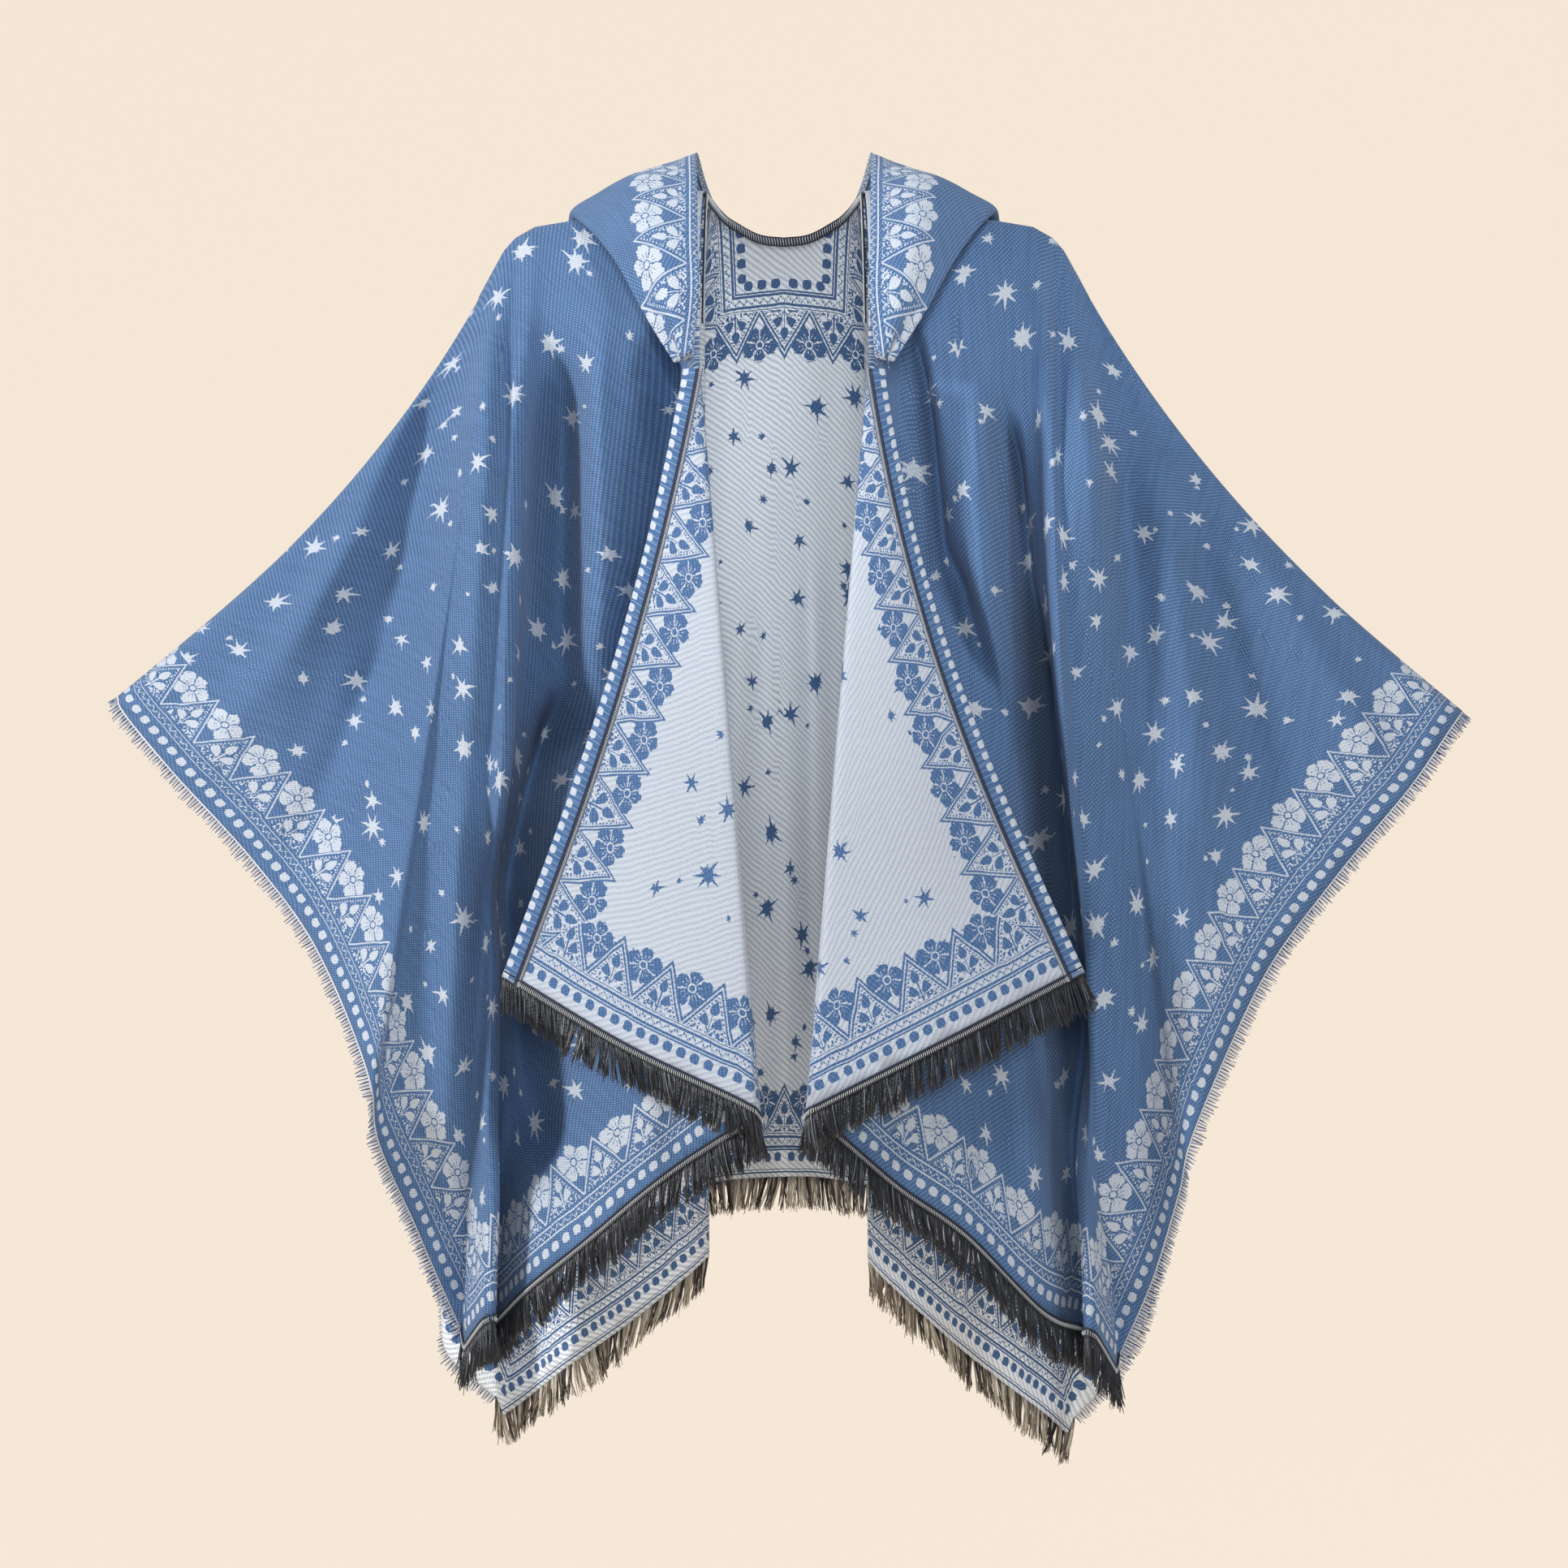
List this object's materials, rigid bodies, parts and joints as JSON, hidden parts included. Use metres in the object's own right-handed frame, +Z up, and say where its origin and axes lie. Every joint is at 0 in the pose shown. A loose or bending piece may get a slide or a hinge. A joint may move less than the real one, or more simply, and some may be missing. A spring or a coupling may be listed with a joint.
{
  "type": "hooded poncho",
  "caption": "Hooded open-front poncho of double-faced woven cloth, worn and hollow, with turned-back lapels, hood lying behind and fringed hems.",
  "frame": {"origin": "on the centre line between the shoulders, at the height of the shoulder line beside the neck, where the wearer's shoulders hold it", "axes": "+Z up, the front faces -Y, +X is the viewer's right (the wearer's left)"},
  "size_m": [0.99, 0.3513, 0.9736],
  "materials": {
    "jacquard_blue": "matte woven jacquard, blue ground with pale figures, fine twill",
    "jacquard_pale": "matte woven jacquard, pale reverse with blue figures, fine twill",
    "overlock_navy": "dark overlocked seam",
    "fringe_charcoal": "loose cut yarn ends",
    "fringe_taupe": "loose cut yarn ends, taupe, cream and black"
  },
  "bodies": {
    "root": {"back": "jacquard_blue", "front_left": "jacquard_blue", "front_right": "jacquard_blue", "lapel_left": "jacquard_pale", "lapel_right": "jacquard_pale", "turned_edge_left": "jacquard_blue", "turned_edge_right": "jacquard_blue", "hood_left": "jacquard_blue", "hood_right": "jacquard_blue", "neck_seam": "overlock_navy", "fringe_front_left": "fringe_charcoal", "fringe_front_right": "fringe_charcoal", "fringe_lapel_left": "fringe_charcoal", "fringe_lapel_right": "fringe_charcoal", "fringe_back": "fringe_taupe"}
  },
  "joints": []
}
